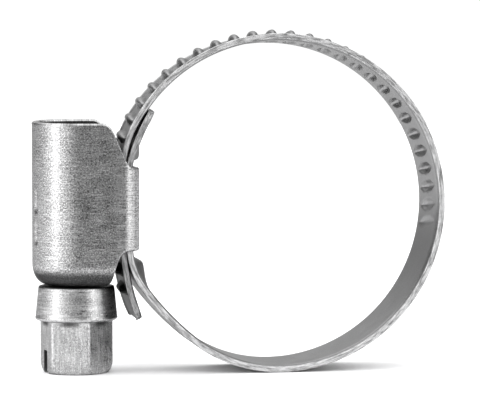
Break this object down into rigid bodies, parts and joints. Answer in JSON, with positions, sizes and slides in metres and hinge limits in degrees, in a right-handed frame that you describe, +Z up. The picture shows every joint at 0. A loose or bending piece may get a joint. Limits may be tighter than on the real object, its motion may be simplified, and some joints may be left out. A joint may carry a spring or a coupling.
{
  "type": "hose clamp",
  "caption": "Worm-drive hose clamp: a steel band with pressed thread ridges runs round a ring and through a pressed housing, where a slotted hexagon worm screw tightens it.",
  "frame": {"origin": "middle of the outline in X and Y, on the surface that the clamp stands on", "axes": "+Z up along the screw, away from its head; +X from the screw to the far side of the ring; Y along the ring's axis"},
  "size_m": [0.0452, 0.0108, 0.0371],
  "materials": {
    "band_steel": "bright rolled strip with pressed ridges",
    "housing_steel": "bright pressed sheet with fine scratches",
    "screw_steel": "bright zinc-plated, turned"
  },
  "bodies": {
    "housing": {"housing": "housing_steel", "band_anchor": "band_steel"},
    "worm_screw": {"worm_screw": "screw_steel"},
    "band_link_1": {"band_link_1": "band_steel"},
    "band_link_2": {"band_link_2": "band_steel"},
    "band_link_3": {"band_link_3": "band_steel"},
    "band_link_4": {"band_link_4": "band_steel"},
    "band_link_5": {"band_link_5": "band_steel"},
    "band_link_6": {"band_link_6": "band_steel"},
    "band_channel": {"band_channel": "band_steel"},
    "band_tail": {"band_tail": "band_steel"}
  },
  "joints": [
    {"name": "screw_turn", "type": "hinge", "parent": "housing", "child": "worm_screw", "pos_m": [-0.01783, 0, 0.0183], "axis": [0, 0, 1], "range_deg": [-360, 720]},
    {"name": "band_bend_1", "type": "hinge", "parent": "housing", "child": "band_link_1", "pos_m": [-0.00971, 0, 0.00785], "axis": [0, -1, 0], "range_deg": [-2.37, 4.72]},
    {"name": "band_bend_2", "type": "hinge", "parent": "band_link_1", "child": "band_link_2", "pos_m": [0.00534, 0, 0.00057], "axis": [0, -1, 0], "range_deg": [-0.94, 1.86]},
    {"name": "band_bend_3", "type": "hinge", "parent": "band_link_2", "child": "band_link_3", "pos_m": [0.01925, 0, 0.00948], "axis": [0, -1, 0], "range_deg": [-0.66, 1.31]},
    {"name": "band_bend_4", "type": "hinge", "parent": "band_link_3", "child": "band_link_4", "pos_m": [0.01983, 0, 0.02602], "axis": [0, -1, 0], "range_deg": [-1.05, 2.08]},
    {"name": "band_bend_5", "type": "hinge", "parent": "band_link_4", "child": "band_link_5", "pos_m": [0.00657, 0, 0.03588], "axis": [0, -1, 0], "range_deg": [-1.63, 3.24]},
    {"name": "band_bend_6", "type": "hinge", "parent": "band_link_5", "child": "band_link_6", "pos_m": [-0.00897, 0, 0.03065], "axis": [0, -1, 0], "range_deg": [-2.99, 5.98], "deforming": ["band_link_6"]},
    {"name": "band_feed", "type": "slide", "parent": "housing", "child": "band_channel", "axis": [0, 0, -1], "range_m": [-0.0021, 0.0042]},
    {"name": "tail_bend", "type": "hinge", "parent": "band_channel", "child": "band_tail", "pos_m": [-0.01313, 0, 0.0151], "axis": [0, -1, 0], "range_deg": [-5.49, 10.98]}
  ],
  "couplings": [
    {"joint": "band_bend_1", "follows": "screw_turn", "ratio": 0.006419},
    {"joint": "band_bend_2", "follows": "screw_turn", "ratio": 0.002523},
    {"joint": "band_bend_3", "follows": "screw_turn", "ratio": 0.001766},
    {"joint": "band_bend_4", "follows": "screw_turn", "ratio": 0.002821},
    {"joint": "band_bend_5", "follows": "screw_turn", "ratio": 0.004403},
    {"joint": "band_bend_6", "follows": "screw_turn", "ratio": 0.008127},
    {"joint": "band_feed", "follows": "screw_turn", "m_per_rad": 0.00032468},
    {"joint": "tail_bend", "follows": "screw_turn", "ratio": 0.014935}
  ]
}
